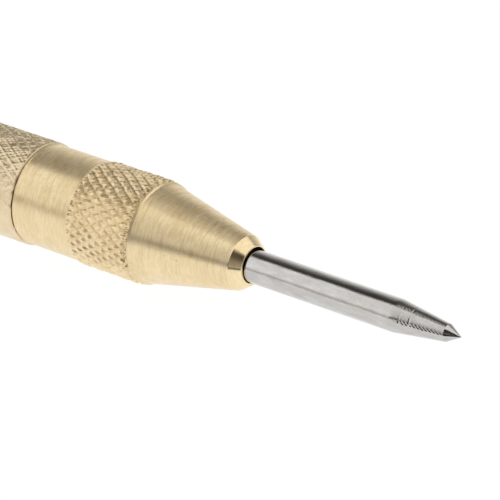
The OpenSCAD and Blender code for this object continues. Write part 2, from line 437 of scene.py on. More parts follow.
class Nodes(Graph):
    """One procedural material."""

    def __init__(self, name):
        self.material = bpy.data.materials.new(name)
        self.material.use_nodes = True
        super().__init__(self.material.node_tree)
        self.shader = self.tree.nodes["Principled BSDF"]
        place = self.tree.nodes.new("ShaderNodeTexCoord")
        self.place = place.outputs["Object"]

    def higher(self, start, end, low, high):
        """A value that rises from low to high between two heights."""
        split = self.tree.nodes.new("ShaderNodeSeparateXYZ")
        self.link(self.place, split.inputs[0])
        return self.ramp(split.outputs[2], start, end, low, high)

    def scaled(self, x, y, z):
        node = self.tree.nodes.new("ShaderNodeMapping")
        node.inputs["Scale"].default_value = (x, y, z)
        self.link(self.place, node.inputs["Vector"])
        return node.outputs["Vector"]

    def noise(self, scale, detail=2.0, rough=0.5):
        """Noise with that many cells a metre along X, Y and Z."""
        node = self.tree.nodes.new("ShaderNodeTexNoise")
        node.inputs["Scale"].default_value = 1.0
        node.inputs["Detail"].default_value = detail
        node.inputs["Roughness"].default_value = rough
        self.link(self.scaled(*scale), node.inputs["Vector"])
        return node.outputs["Fac"]

    def attribute(self, name):
        node = self.tree.nodes.new("ShaderNodeAttribute")
        node.attribute_name = name
        return node.outputs["Fac"]

    def bump(self, height, strength, distance_mm, below=None):
        node = self.tree.nodes.new("ShaderNodeBump")
        node.inputs["Strength"].default_value = strength
        node.inputs["Distance"].default_value = distance_mm * MM
        self.link(height, node.inputs["Height"])
        if below is not None:
            self.link(below, node.inputs["Normal"])
        return node.outputs["Normal"]

    def turned(self, anisotropy):
        """Draws reflections out along the tool, as fine rings round it do."""
        tangent = self.tree.nodes.new("ShaderNodeTangent")
        tangent.direction_type = "RADIAL"
        tangent.axis = "X"
        self.link(tangent.outputs["Tangent"], self.shader.inputs["Tangent"])
        self.shader.inputs["Anisotropic"].default_value = anisotropy
        self.shader.inputs["Anisotropic Rotation"].default_value = 0.25   # a quarter turn

    def finish(self, colour, roughness, normal=None, metallic=1.0):
        self.shader.inputs["Metallic"].default_value = metallic
        self.link(colour, self.shader.inputs["Base Color"])
        self.link(roughness, self.shader.inputs["Roughness"])
        if normal is not None:
            self.link(normal, self.shader.inputs["Normal"])
        return self.material


BRASS_LIGHT = (0.96, 0.80, 0.51)
BRASS_DEEP = (0.88, 0.70, 0.415)
BRASS_STAIN = (0.66, 0.48, 0.22)
BRASS_LINE = (0.70, 0.53, 0.285)
# dark pits, and painted shade in grooves and knurl valleys
BRASS_GRIME_AND_SHADE = (0.16, 0.10, 0.045)
NOSE_LIGHT = (0.95, 0.77, 0.49)
NOSE_DEEP = (0.83, 0.65, 0.38)
GRIP_LIGHT = (0.88, 0.735, 0.50)
GRIP_DEEP = (0.78, 0.63, 0.41)
STEEL_LIGHT = (0.64, 0.63, 0.615)
STEEL_DEEP = (0.49, 0.475, 0.46)
STEEL_WARM = (0.52, 0.465, 0.42)
STEEL_SPECK = (0.2, 0.19, 0.18)
# near black: painted shade on the journal inside the mouth
JOURNAL_SHADE = (0.02, 0.015, 0.012)
WORKS_LIGHT = (0.40, 0.40, 0.41)
WORKS_DEEP = (0.26, 0.25, 0.24)
WORKS_LINE = (0.5, 0.5, 0.5)
WIRE_LIGHT = (0.46, 0.46, 0.47)
WIRE_DEEP = (0.30, 0.30, 0.31)

# painted shade: the bands and grain fade out towards the underside, leaving the top darker
HEIGHT_SHADE_FROM = AXIS_Z - 0.0005      # the brass's bands and grain rise from faint to full strength
HEIGHT_SHADE_TO = AXIS_Z + 0.0035        # between these two heights


def turned_brass(name, metallic, low, high, anisotropy, lines):
    """Brass with lathe lines, faint stains and a few dark pits, and roughness from low to high."""
    n = Nodes(name)
    rings = n.noise((12000, 650, 650), 3.0, 0.65)
    bands = n.noise((4000, 320, 320), 2.0, 0.6)
    broad = n.noise((900, 160, 160), 2.0)
    patches = n.noise((330, 330, 330), 4.0, 0.6)
    stains = n.noise((620, 900, 900), 3.0, 0.55)
    pits = n.noise((2400, 2400, 2400), 2.0)
    grain = n.noise((3000, 1300, 1300), 3.0, 0.7)
    tone = n.mix(n.ramp(patches, 0.35, 0.7), BRASS_LIGHT, BRASS_DEEP)
    lined = n.mix(n.ramp(rings, 0.45, 0.7, 0.0, 0.6 * lines), tone, BRASS_LINE)
    # painted shade, stronger higher up
    height_shade = n.higher(HEIGHT_SHADE_FROM, HEIGHT_SHADE_TO, 0.4, 1.0)
    grainy = n.math("MULTIPLY", n.ramp(grain, 0.5, 0.64, 0.0, 0.5 * lines), height_shade)
    lined = n.mix(grainy, lined, BRASS_LINE)
    banded = n.math("MULTIPLY", n.ramp(bands, 0.5, 0.64, 0.0, 0.6 * lines), height_shade)
    lined = n.mix(banded, lined, BRASS_LINE)
    stained = n.mix(n.ramp(stains, 0.56, 0.74, 0.0, 0.3), lined, BRASS_STAIN)
    spotted = n.mix(n.ramp(pits, 0.73, 0.79, 0.0, 0.6), stained, BRASS_GRIME_AND_SHADE)
    # painted shade: rings marked as grooves go dark, such as inside the mouth; the joint and thread
    # roots darken the same way
    shaded_in_grooves = n.mix(n.ramp(n.attribute("groove"), 0.1, 1.0, 0.0, 0.93), spotted, BRASS_GRIME_AND_SHADE)
    roughness = n.ramp(n.math("ADD", rings, broad), 0.7, 1.3, low, high)
    normal = n.bump(rings, lines, 0.007)
    normal = n.bump(bands, 0.9 * lines, 0.022, normal)
    normal = n.bump(grain, 0.4 * lines, 0.006, normal)
    n.turned(anisotropy)
    return n.finish(shaded_in_grooves, roughness, n.bump(pits, 0.2, 0.01, normal), metallic)


def knurled_brass(name, light, deep):
    """Rolled brass: matter than the turned faces, scuffed, with painted shade in the valleys."""
    n = Nodes(name)
    patches = n.noise((420, 420, 420), 3.0, 0.6)
    scuffs = n.noise((5200, 3200, 3200), 3.0, 0.65)
    tone = n.mix(n.ramp(patches, 0.35, 0.7), light, deep)
    scuffed = n.mix(n.ramp(scuffs, 0.5, 0.8, 0.0, 0.35), tone, deep)
    # painted shade in the knurl valleys and in the groove behind the nose's rim; the barrel's joint
    # darkens the same way
    valley_shade = n.math("MULTIPLY", n.attribute("groove"), n.ramp(scuffs, 0.2, 0.7, 1.0, 0.5))
    shaded_in_grooves = n.mix(n.ramp(valley_shade, 0.05, 1.0, 0.0, 0.75), scuffed, BRASS_GRIME_AND_SHADE)
    roughness = n.ramp(scuffs, 0.25, 0.8, 0.26, 0.42)
    return n.finish(shaded_in_grooves, roughness, n.bump(scuffs, 0.4, 0.01), 0.9)


def ground_steel():
    """Ground and polished tool steel, slightly wavy, with cloudy stains and hair scratches."""
    n = Nodes("ground_steel")
    clouds = n.noise((420, 1100, 1100), 5.0, 0.7)
    rust = n.noise((160, 520, 520), 4.0, 0.7)
    rings = n.noise((14000, 500, 500), 2.0)
    streaks = n.noise((420, 5200, 5200), 3.0, 0.6)
    waves = n.noise((420, 900, 900), 3.0, 0.55)
    specks = n.noise((6500, 6500, 6500), 2.0)
    tone = n.mix(n.ramp(clouds, 0.35, 0.7), STEEL_LIGHT, STEEL_DEEP)
    warm = n.mix(n.ramp(rust, 0.48, 0.7, 0.0, 0.55), tone, STEEL_WARM)
    streaked = n.mix(n.ramp(streaks, 0.5, 0.75, 0.0, 0.4), warm, STEEL_DEEP)
    specked = n.mix(n.ramp(specks, 0.7, 0.78, 0.0, 0.4), streaked, STEEL_SPECK)
    # painted shade: the journal's front goes near black
    shaded_in_grooves = n.mix(n.attribute("groove"), specked, JOURNAL_SHADE)
    roughness = n.ramp(clouds, 0.3, 0.75, 0.07, 0.17)
    normal = n.bump(waves, 0.6, 0.05)
    normal = n.bump(rings, 0.25, 0.002, normal)
    n.turned(0.35)
    return n.finish(shaded_in_grooves, roughness, n.bump(streaks, 0.3, 0.003, normal))


def works_steel():
    """Darker machine steel of the inner pieces, with lathe lines and an oil film."""
    n = Nodes("works_steel")
    rings = n.noise((12000, 400, 400), 2.0)
    oil = n.noise((260, 260, 260), 3.0, 0.6)
    tone = n.mix(n.ramp(oil, 0.35, 0.7), WORKS_LIGHT, WORKS_DEEP)
    lined = n.mix(n.ramp(rings, 0.45, 0.8, 0.0, 0.4), tone, WORKS_LINE)
    roughness = n.ramp(oil, 0.3, 0.7, 0.24, 0.42)
    n.turned(0.4)
    return n.finish(lined, roughness, n.bump(rings, 0.4, 0.004))


def spring_steel():
    """Drawn spring wire with a thin dark scale."""
    n = Nodes("spring_steel")
    scale = n.noise((1500, 1500, 1500), 4.0, 0.65)
    fine = n.noise((9000, 9000, 9000), 2.0)
    tone = n.mix(n.ramp(scale, 0.35, 0.7), WIRE_LIGHT, WIRE_DEEP)
    roughness = n.ramp(scale, 0.3, 0.75, 0.28, 0.45)
    return n.finish(tone, roughness, n.bump(fine, 0.3, 0.006))


TURNED = turned_brass("turned_brass", 0.8, 0.26, 0.36, 0.8, 1.0)
BRIGHT_CUT = turned_brass("bright_cut_brass", 0.95, 0.14, 0.22, 0.4, 0.4)
NOSE_KNURLED = knurled_brass("nose_knurled_brass", NOSE_LIGHT, NOSE_DEEP)
KNURLED = knurled_brass("knurled_brass", GRIP_LIGHT, GRIP_DEEP)
GROUND = ground_steel()
WORKS = works_steel()
SPRING = spring_steel()

# ---------------------------------------------------------------- the point

TIP_HALF_ANGLE = math.radians(30)
TIP_BASE_R = 1.07
TIP_CONE = TIP_BASE_R / math.tan(TIP_HALF_ANGLE)
TIP_FRONT = 0.035
TIP_ROUND = 0.07         # radius of the tip's worn end
TIP_STEPS = 4
TIP_ARC = math.radians(60)       # what the worn end turns through
CONE_FRONT = 0.16        # where the clean cone starts
TAPER_END = 8.8
MARK_STEP = 0.045        # between the rings that carry the grinding marks
SHANK_R = 2.0
JOURNAL_R = 2.165        # the journal is the thicker part that runs in the nose
JOURNAL_FRONT = MOUTH + 0.1
HEAD_FRONT = 41.05
HEAD_R = (POINT_HI.y - POINT_LO.y) / 2 / MM
PIN_FRONT = HEAD_REAR - 3.8
SOCKET_R = 1.75
SOCKET_END = PIN_FRONT - 0.2
POINT_COLUMNS = 360


def punch_point():
    """Worn tip, tip cone, ground taper, shank, journal painted dark at its front as shade, and the
    head with its socket.
    """
    t = Turning(POINT_COLUMNS)
    t.ring(TIP_FRONT, CENTRE / 10)
    for k in range(1, TIP_STEPS + 1):
        a = TIP_ARC * k / TIP_STEPS
        t.ring(TIP_FRONT + TIP_ROUND * (1 - math.cos(a)), TIP_ROUND * math.sin(a))
    t.outline([
        (CONE_FRONT, CONE_FRONT / math.tan(TIP_ARC), 0),
        (TIP_CONE, TIP_BASE_R, 0.06),
        (TIP_CONE + 0.1, TIP_BASE_R + 0.014, 0),
    ])
    t.field(TIP_CONE + 0.12, TAPER_END - 0.5, MARK_STEP,
            grinding_marks(TIP_CONE, TAPER_END, TIP_BASE_R, SHANK_R), PLAIN)
    t.outline([
        (TAPER_END, SHANK_R - 0.005, 0.05),
        (MOUTH - 0.02, SHANK_R, 0),
    ])
    # painted shade: the journal's front, seen in the gap at the mouth, is darkened to near black
    t.outline([
        (JOURNAL_FRONT, SHANK_R, 0),
        (JOURNAL_FRONT + 0.2, JOURNAL_R, 0.1),
        (JOURNAL_FRONT + 1.0, JOURNAL_R, 0),
    ], groove=1.0)
    t.outline([
        (JOURNAL_FRONT + 1.5, JOURNAL_R, 0),
        (HEAD_FRONT, JOURNAL_R, 0.1),
        (HEAD_FRONT, HEAD_R, 0.35),
        (HEAD_REAR, HEAD_R, 0.35),
        (HEAD_REAR, SOCKET_R, 0.15),
        (SOCKET_END, SOCKET_R, 0.1),
        (SOCKET_END, CENTRE, 0),
    ])
    return t.build("point_ground", closed=False)


# ---------------------------------------------------------------- the nose

CHAMFER_END = MOUTH + 1.3
CHAMFER_R = 3.36
FACE_R = 2.36            # the flat face round the mouth
CONE_BASE_R = 6.05
RIM = 43.85              # a thin rim stands up between the cone and the knurl
RIM_R = 6.25
KNURL_FRONT = RIM + 0.25
KNURL_REAR = KNURL_FRONT + 9.05
JOINT_LINE = KNURL_REAR + 8.6
MOUTH_R = 2.2
MOUTH_WORN_SIDE = math.radians(90)   # the mouth's lip is worn wider on top
CONE_SLOPE = (CONE_BASE_R - CHAMFER_R) / (RIM - 0.35 - CHAMFER_END)
BORE_R = 3.9
NOSE_THREAD_R = 5.2
NOSE_THREAD_ROOT = NOSE_THREAD_R - THREAD_HEIGHT
NOSE_COLUMNS = NOSE_STARTS * NOSE_STEPS
LIP = 0.26               # width of the raised lips beside the knurl and at the joint
LIP_STEPS = 9
JOINT_LIP_SIDE = math.radians(85)


def burr(angle, depth, edge, reach, side, seed):
    """Height, about 0 to 1, of a thin lip that rises to an edge, mostly on one side."""
    near = smooth(-abs(depth - edge), -reach, 0)
    where = smooth(np.cos(angle - side), 0.3, 0.9)
    return near * where * np.clip(0.7 + 0.3 * wobble(angle, 0.0, seed, 60), 0, 1.2)


def nose():
    """Worn mouth, bright chamfer, cone and rim, knurl, plain ring, thread and bore."""
    t = Turning(NOSE_COLUMNS)
    mouth_r = MOUTH_R - 0.09 + 0.2 * smooth(np.cos(t.angle - MOUTH_WORN_SIDE), -0.3, 0.9)
    # painted shade: the inside of the mouth is darkened
    t.ring(MOUTH + 0.3, MOUTH_R + 0.01, BRIGHT, 1.0)
    t.ring(MOUTH + 0.07, mouth_r, BRIGHT, 1.0)
    t.ring(MOUTH + 0.02, mouth_r, BRIGHT, 0.6)
    t.ring(MOUTH, mouth_r + 0.02, BRIGHT)
    t.outline([
        (MOUTH, FACE_R, 0),
        (MOUTH + 0.05, FACE_R + 0.09, 0.03),
        (CHAMFER_END, CHAMFER_R, 0.04),
        (CHAMFER_END + 0.1, CHAMFER_R + 0.1 * CONE_SLOPE, 0),
    ], BRIGHT)
    t.outline([
        (CHAMFER_END + 0.12, CHAMFER_R + 0.12 * CONE_SLOPE, 0),
        (RIM - 0.2, CONE_BASE_R + 0.15 * CONE_SLOPE, 0.08),
        (RIM - 0.03, RIM_R + 0.05, 0.05),
        (RIM + 0.02, RIM_R, 0),
    ])
    # painted shade: the narrow groove behind the rim is darkened
    t.ring(RIM + 0.06, CONE_BASE_R, KNURL, 1.0)
    t.ring(RIM + 0.1, CONE_BASE_R, KNURL, 1.0)
    t.field(KNURL_FRONT - 0.12, KNURL_REAR, NOSE_PITCH / NOSE_STEPS,
            nose_knurl(KNURL_FRONT - 0.12, KNURL_REAR), KNURL)
    for k in range(LIP_STEPS):
        depth = KNURL_REAR + 0.02 + 0.03 * k
        t.ring(depth, RING_R + 0.07 * (1 - smooth(depth, KNURL_REAR, KNURL_REAR + LIP)))
    t.outline([(KNURL_REAR + 0.3, RING_R, 0), (JOINT_LINE - 0.34, RING_R, 0)])
    for k in range(LIP_STEPS):
        depth = JOINT_LINE - 0.3 + 0.035 * k
        raised = burr(t.angle, depth, JOINT_LINE, LIP, JOINT_LIP_SIDE, 41)
        t.ring(depth, RING_R + 0.08 * raised)
    t.ring(JOINT_LINE, RING_R - 0.05, groove=0.4)
    t.outline([
        (JOINT_LINE, NOSE_THREAD_R + 0.2, 0),
        (JOINT_LINE, NOSE_THREAD_ROOT, 0.05),
        (JOINT_LINE + 0.8, NOSE_THREAD_ROOT, 0),
    ], groove=0.6)
    t.field(JOINT_LINE + 1.0, NOSE_REAR - 0.5, THREAD_PITCH / 8,
            thread(NOSE_THREAD_R), PLAIN, fine=False)
    t.outline([
        (NOSE_REAR - 0.4, NOSE_THREAD_ROOT, 0),
        (NOSE_REAR, NOSE_THREAD_ROOT - 0.1, 0.1),
        (NOSE_REAR, BORE_R, 0.1),
        (HEAD_FRONT - 0.05, BORE_R, 0.2),
        (HEAD_FRONT - 0.05, MOUTH_R, 0.1),
        (MOUTH + 1.5, MOUTH_R, 0),
    ])
    return t.build("nose_turned", closed=True)


# ---------------------------------------------------------------- the barrel

GRIP_REAR = BARREL_FRONT + 35.2
SHOULDER = GRIP_REAR + 8
STOP_FRONT = 72.5        # the inner wall with the trip pin's hole
STOP_REAR = 77.0
STOP_HOLE_R = 2.6
HAMMER_BORE_R = 3.96
CAP_THREAD_R = 5.0
CAP_THREAD_ROOT = CAP_THREAD_R - THREAD_HEIGHT
GRIP_COLUMNS = GRIP_STARTS * GRIP_STEPS
GAP_SIDE = math.radians(-8)          # where the joint to the nose gapes most
GRIP_WORN_SIDE = math.radians(-35)


def barrel():
    """Gaping joint, knurled grip, plain ring, cap thread, hammer bore, inner wall and socket."""
    t = Turning(GRIP_COLUMNS)
    gap = 0.015 + 0.075 * smooth(np.cos(t.angle - GAP_SIDE), 0.35, 0.9)
    gap = gap * (1 + 0.5 * wobble(t.angle, 0.0, 17, 60))
    front = BARREL_FRONT + np.clip(gap, 0.01, 0.2)
    dark = smooth(gap, 0.015, 0.06)
    t.ring(BARREL_FRONT, NOSE_THREAD_R + 0.05, KNURL, 1.0)
    t.ring(front, 5.9, KNURL, 0.7)
    t.ring(front + 0.01, 6.15, KNURL, 0.6 * dark)
    t.ring(front + 0.03, 6.26, KNURL, 0.4 * dark)
    t.ring(front + 0.06, 6.33, KNURL)
    t.ring(front + 0.14, GRIP_R - 0.06, KNURL)
    t.field(BARREL_FRONT + 0.36, GRIP_REAR, GRIP_PITCH / GRIP_STEPS,
            grip_knurl(BARREL_FRONT + 0.1, GRIP_REAR, 11, GRIP_WORN_SIDE), KNURL)
    t.outline([
        (GRIP_REAR + 0.02, RING_R, 0),
        (SHOULDER, RING_R, 0.15),
        (SHOULDER, CAP_THREAD_R - 0.6, 0.05),
        (SHOULDER + 0.9, CAP_THREAD_R - 0.6, 0.05),
        (SHOULDER + 1.0, CAP_THREAD_ROOT, 0),
    ])
    t.field(SHOULDER + 1.1, BARREL_REAR - 0.5, THREAD_PITCH / 6,
            thread(CAP_THREAD_R), PLAIN, fine=False)
    t.outline([
        (BARREL_REAR - 0.4, CAP_THREAD_ROOT, 0),
        (BARREL_REAR, CAP_THREAD_ROOT - 0.1, 0.1),
        (BARREL_REAR, HAMMER_BORE_R, 0.1),
        (STOP_REAR, HAMMER_BORE_R, 0.1),
        (STOP_REAR, STOP_HOLE_R, 0.1),
        (STOP_FRONT + 0.8, STOP_HOLE_R, 0.1),
        (STOP_FRONT, STOP_HOLE_R + 0.2, 0.1),
        (STOP_FRONT, BORE_R, 0.1),
        (NOSE_REAR + 0.25, BORE_R, 0.1),
        (NOSE_REAR + 0.25, NOSE_THREAD_R + 0.05, 0),
    ])
    return t.build("barrel_knurled", closed=True)


# ---------------------------------------------------------------- the cap

CAP_KNURL_FRONT = CAP_FRONT + 1.0
CAP_KNURL_REAR = CAP_KNURL_FRONT + 12.5
CAP_DOME = CAP_KNURL_REAR + 0.8
CAP_DOME_R = 3.2         # radius of the rounded edge of its end
CAP_DOME_STEPS = 24
CAP_GROOVE_R = 5.8
CAP_FLOOR = SEAT_REAR + 0.02
CAP_BORE_R = 4.0
CAP_SOCKET_END = BARREL_REAR + 1.5
END_STEPS = 22
END_WAVE = 0.5           # pitch of the fine rings that the lathe left on its end


def cap():
    """Bore and threaded socket, knurl, groove, plain ring and the rounded end."""
    t = Turning(GRIP_COLUMNS)
    t.outline([
        (CAP_FLOOR, CENTRE, 0),
        (CAP_FLOOR, CAP_BORE_R, 0.2),
        (CAP_SOCKET_END, CAP_BORE_R, 0.1),
        (CAP_SOCKET_END, CAP_THREAD_R + 0.05, 0.1),
        (CAP_FRONT, CAP_THREAD_R + 0.05, 0.15),
        (CAP_FRONT, RING_R, 0.35),
        (CAP_KNURL_FRONT, RING_R, 0.03),
        (CAP_KNURL_FRONT + 0.02, GRIP_R - 0.16, 0),
    ])
    t.field(CAP_KNURL_FRONT + 0.1, CAP_KNURL_REAR - 0.05, GRIP_PITCH / GRIP_STEPS,
            grip_knurl(CAP_KNURL_FRONT, CAP_KNURL_REAR, 23, None), KNURL)
    t.outline([
        (CAP_KNURL_REAR, GRIP_R - 0.2, 0),
        (CAP_KNURL_REAR, CAP_GROOVE_R, 0.1),
        (CAP_DOME, CAP_GROOVE_R, 0.1),
        (CAP_DOME, RING_R, 0.15),
        (TOOL_END - CAP_DOME_R - 0.05, RING_R, 0),
    ])
    for k in range(1, CAP_DOME_STEPS + 1):
        a = math.pi / 2 * k / CAP_DOME_STEPS
        t.ring(TOOL_END - CAP_DOME_R * (1 - math.sin(a)),
               RING_R - CAP_DOME_R * (1 - math.cos(a)))
    for k in range(1, END_STEPS):
        radius = (RING_R - CAP_DOME_R) * (1 - k / END_STEPS)
        t.ring(TOOL_END - 0.02 * (1 - math.cos(2 * math.pi * radius / END_WAVE)), radius)
    t.ring(TOOL_END, CENTRE)
    return t.build("cap_knurled", closed=False)


# ---------------------------------------------------------------- the works inside

HAMMER_COLUMNS = 128
HAMMER_R = 3.9
HAMMER_HOLE_R = 1.75     # the trip pin's tail drops into this hole
HAMMER_HOLE_END = HAMMER_FRONT + 7
HAMMER_GROOVE = HAMMER_FRONT + 6
CENTRE_DRILL_R = 0.6

WORKS_COLUMNS = 96
PIN_R = 1.5
PIN_REAR = STOP_REAR - 0.3
PIN_LEAN = math.radians(1.75)
COLLAR_FRONT = 56.0
COLLAR_REAR = COLLAR_FRONT + 2
COLLAR_R = 3.2
BOSS_REAR = COLLAR_FRONT + 7.5
BOSS_R = 2.4             # 0.05 under the CAD's, so that the return spring clears it

SEAT_DISC = SEAT_FRONT + 3
SEAT_DISC_REAR = SEAT_DISC + 1.4
SEAT_R = 3.7
SEAT_SPIGOT_R = 2.1
SEAT_BUTTON_R = 1.8


def hammer():
    """A plain steel cylinder with the trip pin's hole, a shallow groove and a drilled centre."""
    t = Turning(HAMMER_COLUMNS)
    t.outline([
        (HAMMER_HOLE_END, CENTRE, 0),
        (HAMMER_HOLE_END, HAMMER_HOLE_R, 0.3),
        (HAMMER_FRONT, HAMMER_HOLE_R, 0.25),
        (HAMMER_FRONT, HAMMER_R, 0.4),
        (HAMMER_GROOVE, HAMMER_R, 0.05),
        (HAMMER_GROOVE + 0.1, HAMMER_R - 0.05, 0.05),
        (HAMMER_GROOVE + 0.4, HAMMER_R - 0.05, 0.05),
        (HAMMER_GROOVE + 0.5, HAMMER_R, 0.05),
        (HAMMER_REAR, HAMMER_R, 0.4),
        (HAMMER_REAR, CENTRE_DRILL_R, 0.1),
        (HAMMER_REAR - CENTRE_DRILL_R, CENTRE, 0),
    ])
    return t.build("hammer_turned", closed=False)


def trip_pin():
    """A stem with a collar, a centring boss and a tail, leaning off the axis."""
    t = Turning(WORKS_COLUMNS)
    t.outline([
        (PIN_FRONT, CENTRE, 0),
        (PIN_FRONT, PIN_R, 0.4),
        (COLLAR_FRONT, PIN_R, 0.1),
        (COLLAR_FRONT, COLLAR_R, 0.15),
        (COLLAR_REAR, COLLAR_R, 0.15),
        (COLLAR_REAR, BOSS_R, 0.1),
        (BOSS_REAR, BOSS_R, 0.15),
        (BOSS_REAR + 1.5, PIN_R, 0.15),
        (PIN_REAR, PIN_R, 0.3),
        (PIN_REAR, CENTRE, 0),
    ])
    pin = t.build("trip_pin_turned", closed=False)
    pivot = Vector((TIP_X - PIN_FRONT * MM, 0, AXIS_Z))
    lean = Matrix.Rotation(PIN_LEAN, 4, "Y")
    pin.data.transform(Matrix.Translation(pivot) @ lean @ Matrix.Translation(-pivot))
    return pin


def spring_seat():
    """A spigot inside the main spring, the disc that it presses, and a button on the cap."""
    t = Turning(WORKS_COLUMNS)
    t.outline([
        (SEAT_FRONT, CENTRE, 0),
        (SEAT_FRONT, SEAT_SPIGOT_R, 0.4),
        (SEAT_DISC, SEAT_SPIGOT_R, 0.15),
        (SEAT_DISC, SEAT_R, 0.2),
        (SEAT_DISC_REAR, SEAT_R, 0.2),
        (SEAT_DISC_REAR, SEAT_BUTTON_R, 0.15),
        (SEAT_REAR, SEAT_BUTTON_R, 0.5),
        (SEAT_REAR, CENTRE, 0),
    ])
    return t.build("spring_seat_turned", closed=False)


WIRE_SIDES = 14
TURN_STEPS = 40
CLOSED = 1.06            # pitch of a spring's closed end turns, in wire diameters
END_FLAT = 0.02          # how much of the wire is ground off each end
WIRE_SHARP = math.radians(50)


def coil(name, turns, wire, front, rear, front_d, rear_d, front_lift):
    """A coil spring round the axis with closed end turns and slightly ground ends."""
    closed = wire * CLOSED
    middle = (rear - front - wire - 2 * closed) / (turns - 2)
    points = []
    rings = turns * TURN_STEPS
    for i in range(rings + 1):
        t, part = i / TURN_STEPS, i / rings
        a = 2 * math.pi * t
        mean_r = (front_d + (rear_d - front_d) * part) / 2
        depth = (front + wire / 2 + closed * (min(t, 1) + max(t - turns + 1, 0))
                 + middle * min(max(t - 1, 0), turns - 2))
        lift = front_lift * (1 - part)
        for k in range(WIRE_SIDES):
            b = 2 * math.pi * k / WIRE_SIDES
            r = mean_r + wire / 2 * math.cos(b)
            along = depth + wire / 2 * math.sin(b)
            along = min(max(along, front + END_FLAT), rear - END_FLAT)
            points.append((TIP_X - along * MM, r * math.cos(a) * MM,
                           AXIS_Z + (lift + r * math.sin(a)) * MM))
    faces = []
    for i in range(rings):
        for k in range(WIRE_SIDES):
            a, b = i * WIRE_SIDES + k, i * WIRE_SIDES + (k + 1) % WIRE_SIDES
            faces.append((a, b, b + WIRE_SIDES, a + WIRE_SIDES))
    faces.append(tuple(range(WIRE_SIDES))[::-1])
    faces.append(tuple(rings * WIRE_SIDES + k for k in range(WIRE_SIDES)))
    mesh = bpy.data.meshes.new(name)
    mesh.from_pydata(points, [], faces)
    if signed_volume(mesh) < 0:
        mesh.flip_normals()
    mesh.polygons.foreach_set("use_smooth", [True] * len(mesh.polygons))
    mesh.set_sharp_from_angle(angle=WIRE_SHARP)
    piece = bpy.data.objects.new(name, mesh)
    bpy.context.scene.collection.objects.link(piece)
    return piece


finish_piece(punch_point(), "point", "punch_point", [GROUND])
finish_piece(nose(), "body", "nose_cone", [TURNED, NOSE_KNURLED, BRIGHT_CUT])
finish_piece(barrel(), "body", "barrel", [TURNED, KNURLED])
finish_piece(cap(), "cap", "adjusting_cap", [TURNED, KNURLED])
finish_piece(hammer(), "hammer", "hammer", [WORKS])
finish_piece(trip_pin(), "trip", "trip_pin", [WORKS])
finish_piece(spring_seat(), "seat", "spring_seat", [WORKS])

MAIN_FRONT, MAIN_REAR = depth_of(MAIN_HI.x), depth_of(MAIN_LO.x)
MAIN_TURNS, MAIN_WIRE, MAIN_COIL_D = 10, 1.1, 5.9
RETURN_FRONT, RETURN_REAR = depth_of(RETURN_HI.x), depth_of(RETURN_LO.x)
RETURN_TURNS, RETURN_WIRE = 7, 0.5
RETURN_FRONT_D, RETURN_REAR_D = 5.6, 6.9
RETURN_LIFT = 0.36       # its front end sits off the axis with the leaning trip pin

main_spring = finish_piece(
    coil("main_spring_wire", MAIN_TURNS, MAIN_WIRE, MAIN_FRONT, MAIN_REAR,
         MAIN_COIL_D, MAIN_COIL_D, 0.0),
    "seat", "main_spring", [SPRING])
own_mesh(main_spring)

return_spring = finish_piece(
    coil("return_spring_wire", RETURN_TURNS, RETURN_WIRE, RETURN_FRONT, RETURN_REAR,
         RETURN_FRONT_D, RETURN_REAR_D, RETURN_LIFT),
    "body", "return_spring", [SPRING])
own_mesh(return_spring)

# ---------------------------------------------------------------- stage, light and camera

FLOOR_HALF = 4.0
FLOOR_GREY = 0.03
FLOOR_GLOW = 0.985
FLOOR_LIGHT = (1.0, 1.0, 1.0)
CARD_GREY = 0.02
CARD_LIGHT = (1.0, 0.96, 0.92)
CARD_HEIGHT = 0.0002     # above the floor, in metres as the cards' corners are
FAR = -3.0               # the cards run out to here


def glowing(name, grey, light, strength):
    """A dull grey surface that gives out light."""
    material = bpy.data.materials.new(name)
    material.use_nodes = True
    shader = material.node_tree.nodes["Principled BSDF"]
    shader.inputs["Base Color"].default_value = (grey, grey, grey, 1.0)
    shader.inputs["Roughness"].default_value = 0.9
    shader.inputs["Specular IOR Level"].default_value = 0.0
    shader.inputs["Emission Color"].default_value = (*light, 1.0)
    shader.inputs["Emission Strength"].default_value = strength
    return material


def floor():
    """The light table that the tool lies on."""
    bpy.ops.mesh.primitive_plane_add(size=2 * FLOOR_HALF, location=(0, 0, 0))
    plane = bpy.context.object
    plane.name = "floor"
    plane.data.materials.append(glowing("light_table", FLOOR_GREY, FLOOR_LIGHT, FLOOR_GLOW))


# what the tool mirrors of the table in front of it: outlines on the floor and their brightness
CARDS = (
    ("black_card", 0.02, ((0.0493, -0.022), (0.068, -0.022), (0.068, -0.06), (0.35, FAR),
                          (-0.4, FAR))),
    ("tip_card", 0.02, ((0.068, -0.0118), (0.16, -0.0118), (0.118, -0.12), (1.47, FAR),
                        (1.2, FAR), (0.068, -0.0155))),
    ("side_card", 0.5, ((0.16, -0.0118), (3.0, -0.0118), (3.0, FAR), (1.47, FAR),
                        (0.118, -0.12))),
    ("dim_card", 0.6, ((0.068, -0.0155), (1.2, FAR), (0.35, FAR), (0.068, -0.06))),
    ("grey_card", 0.6, ((-0.012, -0.052), (0.0448, -0.052), (-0.4, FAR), (-0.8, FAR))),
    ("pale_card", 0.74, ((-0.4, -0.042), (-0.012, -0.052), (-0.8, FAR), (-3.0, FAR))),
)


def card(name, brightness, corners):
    """A card lying before the tool that only reflections see."""
    points = [(x, y, CARD_HEIGHT) for x, y in corners]
    mesh = bpy.data.meshes.new(name)
    mesh.from_pydata(points, [], [tuple(range(len(corners)))[::-1]])
    piece = bpy.data.objects.new(name, mesh)
    bpy.context.scene.collection.objects.link(piece)
    piece.data.materials.append(glowing(name, CARD_GREY, CARD_LIGHT, brightness - CARD_GREY))
    piece.visible_camera = False
    piece.visible_shadow = False
    piece.visible_diffuse = False


